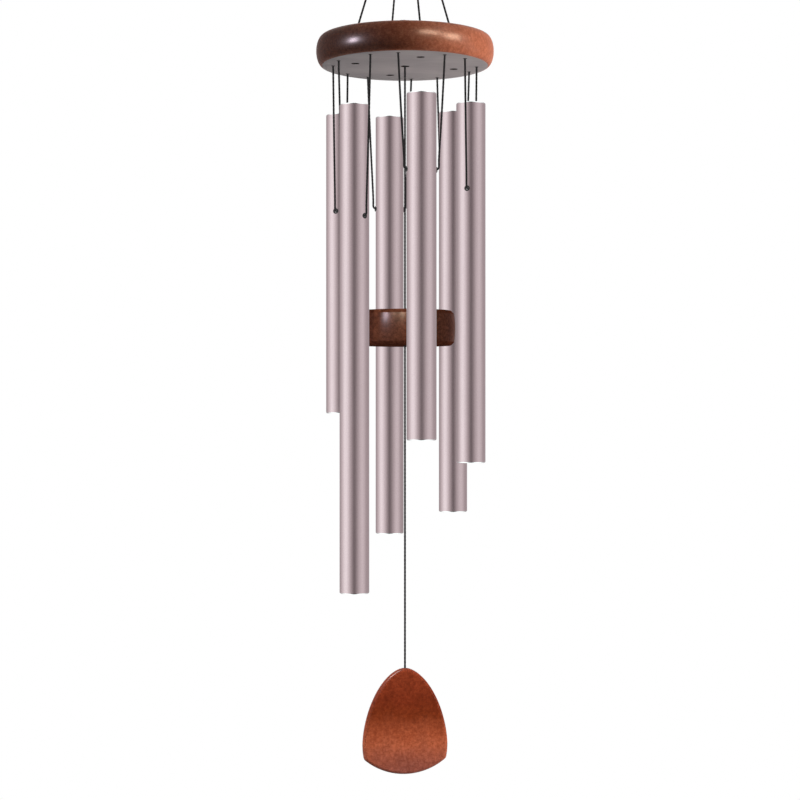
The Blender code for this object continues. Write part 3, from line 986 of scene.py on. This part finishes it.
def make_tubes():
    for number in TUBE_NUMBERS:
        low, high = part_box(f"tube_{number}")
        pivot = joint_place(f"tube_{number}_rock")
        outer, inner = TUBE_RADIUS, TUBE_RADIUS - TUBE_WALL
        top, bottom = high[2] - pivot.z, low[2] - pivot.z
        band = 2 * TUBE_HOLE_RADIUS
        profile = [
            *arc(inner + TUBE_INNER_LIP, top - TUBE_INNER_LIP, TUBE_INNER_LIP, 180, 100, 2),
            *arc(outer - TUBE_LIP, top - TUBE_LIP, TUBE_LIP, 88, 0, 8),
            (outer, band),
            (outer, -band),
            *arc(outer - TUBE_LIP, bottom + TUBE_LIP, TUBE_LIP, 0, -88, 8),
            *arc(inner + TUBE_INNER_LIP, bottom + TUBE_INNER_LIP, TUBE_INNER_LIP, -100, -180, 2),
            (inner, -band),
            (inner, band),
        ]
        swing = joint_place(f"tube_{number}_swing")
        turn = Matrix.Rotation(math.atan2(swing.x, -swing.y), 4, "Z")
        place = Matrix.Translation(pivot) @ turn
        made = lathe(f"tube_{number}_coated", profile, 96, place, closed=True)
        sideways = place @ Matrix.Rotation(math.pi / 2, 4, "Y")
        reach = 2 * TUBE_RADIUS
        drill = lathe(
            "cutter",
            [(0, reach), (TUBE_HOLE_RADIUS, reach), (TUBE_HOLE_RADIUS, -reach), (0, -reach)],
            32,
            sideways,
        )
        cut_away(made, [drill])
        dress(made, TUBE_COAT, f"tube_{number}_body", [f"tube_{number}"])
        made.data.materials.append(BARE_ALUMINIUM_PAINTED_SHADE)
        made.data.materials.append(CUT_END)
        for face in made.data.polygons:
            across = math.hypot(face.center.x - pivot.x, face.center.y - pivot.y)
            # The inside of the bore takes the darkened bare metal: painted shade
            if across < inner + TUBE_INNER_LIP / 2:
                face.material_index = 1
            elif across < outer - 0.00003:
                face.material_index = 2
        for letter, side in (("a", 1), ("b", -1)):
            make_grommet(number, letter, place @ Matrix.Rotation(side * math.pi / 2, 4, "Y"))


def make_grommet(number, letter, place):
    """A moulded bush with a rounded flange outside and a lip inside."""
    face = TUBE_RADIUS + GROMMET_GAP
    inside = TUBE_RADIUS - TUBE_WALL - GROMMET_GAP
    outside = face + GROMMET_FLANGE_THICKNESS
    soft, tip = GROMMET_SOFT, GROMMET_TIP_SOFT
    profile = [
        *arc(GROMMET_BORE + soft, outside - soft, soft, 180, 90, 4),
        *arc(GROMMET_FLANGE - soft, outside - soft, soft, 90, 0, 4),
        *arc(GROMMET_FLANGE - soft, face + soft, soft, 0, -90, 4),
        (GROMMET_BARREL, face),
        *arc(GROMMET_BARREL - tip, inside + tip, tip, 0, -90, 2),
        *arc(GROMMET_BORE + tip, inside + tip, tip, -90, -180, 2),
    ]
    name = f"grommet_{number}{letter}"
    made = lathe(f"{name}_moulded", profile, 40, place, closed=True)
    dress(made, RUBBER, f"tube_{number}_body", [name])


def make_striker():
    """The turned striker: crowned side, cut corners with soft edges, and its knot's seat."""
    low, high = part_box("striker")
    top, bottom, radius = high[2], low[2], (high[0] - low[0]) / 2
    edge, middle = radius - STRIKER_CROWN, (top + bottom) / 2
    half = (top - bottom) / 2 - STRIKER_CORNER
    profile = [(HOLE_RADIUS + HOLE_CHAMFER, top), (edge * 0.5, top)]
    profile += arc(edge - STRIKER_CORNER, top - STRIKER_SOFT, STRIKER_SOFT, 90, 45, 3)
    profile += arc(edge - STRIKER_SOFT, top - STRIKER_CORNER, STRIKER_SOFT, 45, 0, 3)
    for step in range(1, 10):
        share = 1 - step / 5
        profile.append((edge + STRIKER_CROWN * (1 - share**2), middle + half * share))
    profile += arc(edge - STRIKER_SOFT, bottom + STRIKER_CORNER, STRIKER_SOFT, 0, -45, 3)
    profile += arc(edge - STRIKER_CORNER, bottom + STRIKER_SOFT, STRIKER_SOFT, -45, -90, 3)
    profile += [
        (edge * 0.5, bottom),
        (SEAT_RADIUS + HOLE_CHAMFER, bottom),
        (SEAT_RADIUS, bottom + HOLE_CHAMFER),
        (SEAT_RADIUS, bottom + SEAT_DEPTH),
        (HOLE_RADIUS, bottom + SEAT_DEPTH),
        (HOLE_RADIUS, top - HOLE_CHAMFER),
    ]
    made = lathe("striker_turned", profile, 160, closed=True)
    dress(made, STRIKER_WOOD, "striker_line", ["striker"])
    made.data.materials.append(STRIKER_ENDS)
    for face in made.data.polygons:
        if abs(face.normal.z) > 0.3:
            face.material_index = 1


def sail_outline(half_width, height):
    """The shield's right half, from its top to its bottom middle."""
    shoulder, corner_drop = SAIL_SHOULDER_DROP * height, SAIL_CORNER_DROP * height
    corner_half = SAIL_CORNER_HALF_WIDTH * half_width
    side = []
    for step in range(1, 31):
        drop = shoulder * (step / 30) ** 1.6
        up = 1 - drop / shoulder
        out = (1 - up**SAIL_CURVE_DOWN) ** (1 / SAIL_CURVE_ACROSS)
        side.append((half_width * out, -drop))
    points = [(0, 0), *side]
    points.append((half_width - 0.0003, -(corner_drop + shoulder) / 2))
    points.append((corner_half + 0.0002, -corner_drop + 0.0008))
    points.append((corner_half - 0.0004, -corner_drop - 0.0008))
    points.append((corner_half - 0.0016, -corner_drop - 0.0019))
    start_x, start_z = points[-1]
    sag = height + start_z
    bow = (start_x**2 + sag**2) / (2 * sag)
    widest = math.asin(start_x / bow)
    for step in range(1, 17):
        angle = widest * (1 - step / 16)
        points.append((bow * math.sin(angle), -height + bow * (1 - math.cos(angle))))
    return points


def make_sail():
    """The flat shield: an outline given thickness, rounded edges and a bore."""
    low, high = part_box("sail")
    spin = joint_place("sail_spin")
    height = high[2] - low[2]
    right = sail_outline(SAIL_HALF_WIDTH, height)
    outline = right + [(-x, z) for x, z in reversed(right[1:-1])]
    count = len(outline)
    half = SAIL_THICKNESS / 2
    place = Matrix.Translation((spin.x, spin.y, high[2])) @ Matrix.Rotation(SAIL_YAW, 4, "Z")
    points = [place @ Vector((x, -half, z)) for x, z in outline]
    points += [place @ Vector((x, half, z)) for x, z in outline]
    faces = [tuple(range(count)), tuple(range(2 * count - 1, count - 1, -1))]
    for i in range(count):
        j = (i + 1) % count
        faces.append((i, j, count + j, count + i))
    made = piece("sail_shield", [tuple(point) for point in points], faces)
    bevel = made.modifiers.new("Rounded edge", "BEVEL")
    bevel.width = SAIL_EDGE_RADIUS
    bevel.segments = 7
    bevel.limit_method = "ANGLE"
    bevel.angle_limit = math.radians(50)
    bake_modifiers(made)
    top = high[2]
    bore = lathe(
        "cutter",
        [
            (0, top + 0.002),
            (HOLE_RADIUS + 0.0003, top + 0.002),
            (HOLE_RADIUS + 0.0003, top - 0.0001),
            (HOLE_RADIUS, top - 0.0006),
            (HOLE_RADIUS, top - SAIL_BORE_DEPTH),
            (0, top - SAIL_BORE_DEPTH),
        ],
        28,
    )
    cut_away(made, [bore])
    dress(made, SAIL_WOOD_AND_PAINTED_SHEEN, "sail", ["sail"])


# ---------------------------------------------------------------- light and floor


def area_light(name, place, target, width, height, power, colour=(1, 1, 1)):
    data = bpy.data.lights.new(name, "AREA")
    data.shape = "RECTANGLE"
    data.size, data.size_y = width, height
    data.energy = power
    data.color = colour
    light = bpy.data.objects.new(name, data)
    light.location = place
    aim = Vector(target) - Vector(place)
    light.rotation_euler = aim.to_track_quat("-Z", "Y").to_euler()
    light.visible_camera = False
    bpy.context.scene.collection.objects.link(light)
    return light


def make_floor(height):
    bpy.ops.mesh.primitive_circle_add(
        vertices=96, radius=FLOOR_RADIUS, fill_type="NGON", location=(0, 0, height)
    )
    floor = bpy.context.object
    floor.name = "studio_floor"
    floor.data.materials.append(plain("studio_floor_white", (0.86, 0.86, 0.86), 0.9, 0.25))
    floor.visible_diffuse = False
    floor.visible_glossy = False


def make_world():
    """White to the camera; to gloss, light and dark bands round the chime."""
    world = bpy.data.worlds.new("studio_surround")
    bpy.context.scene.world = world
    world.use_nodes = True
    tree = world.node_tree
    back = tree.nodes["Background"]

    def add(kind, **settings):
        made = tree.nodes.new(kind)
        for name, value in settings.items():
            setattr(made, name, value)
        return made

    parts = add("ShaderNodeSeparateXYZ")
    tree.links.new(add("ShaderNodeTexCoord").outputs["Generated"], parts.inputs["Vector"])
    front = add("ShaderNodeMath", operation="MULTIPLY")
    tree.links.new(parts.outputs["Y"], front.inputs[0])
    front.inputs[1].default_value = -1
    bearing = add("ShaderNodeMath", operation="ARCTAN2")
    tree.links.new(parts.outputs["X"], bearing.inputs[0])
    tree.links.new(front.outputs[0], bearing.inputs[1])
    share = add("ShaderNodeMapRange")
    tree.links.new(bearing.outputs[0], share.inputs["Value"])
    share.inputs["From Min"].default_value = -math.pi
    share.inputs["From Max"].default_value = math.pi

    def bands(levels):
        ramp = add("ShaderNodeValToRGB")
        tree.links.new(share.outputs["Result"], ramp.inputs["Fac"])
        while len(ramp.color_ramp.elements) < len(levels):
            ramp.color_ramp.elements.new(0.5)
        for element, (degrees, level) in zip(ramp.color_ramp.elements, levels):
            element.position = degrees / 360 + 0.5
            green, blue = 0.86 + 0.15 * level, 0.88 + 0.13 * level
            element.color = (level, level * green, level * blue, 1)
        return ramp.outputs["Color"]

    rise = add("ShaderNodeMath", operation="ABSOLUTE")
    tree.links.new(parts.outputs["Z"], rise.inputs[0])
    high = add("ShaderNodeMapRange", interpolation_type="SMOOTHSTEP")
    tree.links.new(rise.outputs[0], high.inputs["Value"])
    high.inputs["From Min"].default_value, high.inputs["From Max"].default_value = OVERHEAD_RISE
    around_it = add("ShaderNodeMix", data_type="RGBA")
    tree.links.new(high.outputs["Result"], around_it.inputs["Factor"])
    tree.links.new(bands(SURROUND), around_it.inputs["A"])
    tree.links.new(bands(OVERHEAD), around_it.inputs["B"])
    rays = add("ShaderNodeLightPath")
    mix = add("ShaderNodeMix", data_type="RGBA")
    tree.links.new(rays.outputs["Is Camera Ray"], mix.inputs["Factor"])
    tree.links.new(around_it.outputs["Result"], mix.inputs["A"])
    mix.inputs["B"].default_value = (1, 1, 1, 1)
    tree.links.new(mix.outputs["Result"], back.inputs["Color"])
    back.inputs["Strength"].default_value = 1.0
    world.cycles_visibility.diffuse = False


def softbox(name, lit, degrees, rise, distance, size, power, colour, gloss):
    """An area light on a bearing from the front, aimed at a piece or the whole chime."""
    if lit:
        target = centre_of(lit)
    else:
        target = (Vector(CAD_BOX[0]) + Vector(CAD_BOX[1])) / 2
    angle, lift = math.radians(degrees), math.radians(rise)
    level = distance * math.cos(lift)
    away = Vector((level * math.sin(angle), -level * math.cos(angle), distance * math.sin(lift)))
    light = area_light(name, target + away, target, *size, power, colour)
    light.visible_glossy = gloss
    light.visible_diffuse = not gloss
    if lit:
        receivers = bpy.data.collections.get(lit) or bpy.data.collections.new(lit)
        if lit not in receivers.objects:
            receivers.objects.link(bpy.data.objects[lit])
        light.light_linking.receiver_collection = receivers


def centre_of(name):
    """The middle of a piece's box."""
    item = bpy.data.objects[name]
    corners = [item.matrix_world @ Vector(corner) for corner in item.bound_box]
    return sum(corners, Vector()) / 8


def make_studio():
    scene = bpy.context.scene
    scene.view_settings.view_transform = "Standard"
    scene.view_settings.look = "None"
    make_world()
    make_floor(CAD_BOX[0][2] - FLOOR_DROP)
    for row in LIGHTS:
        softbox(*row)


def hide_from_gloss():
    """Keeps the pieces out of each other's reflections."""
    for item in bpy.context.scene.objects:
        if item.type == "MESH" and item.name != "studio_floor":
            item.visible_glossy = False


make_camera()
make_hanger_cords()
make_tube_cords()
make_centre_cords()
make_lashing()
make_knots()
make_ring()
make_disc()
make_tubes()
make_striker()
make_sail()
make_studio()
hide_from_gloss()
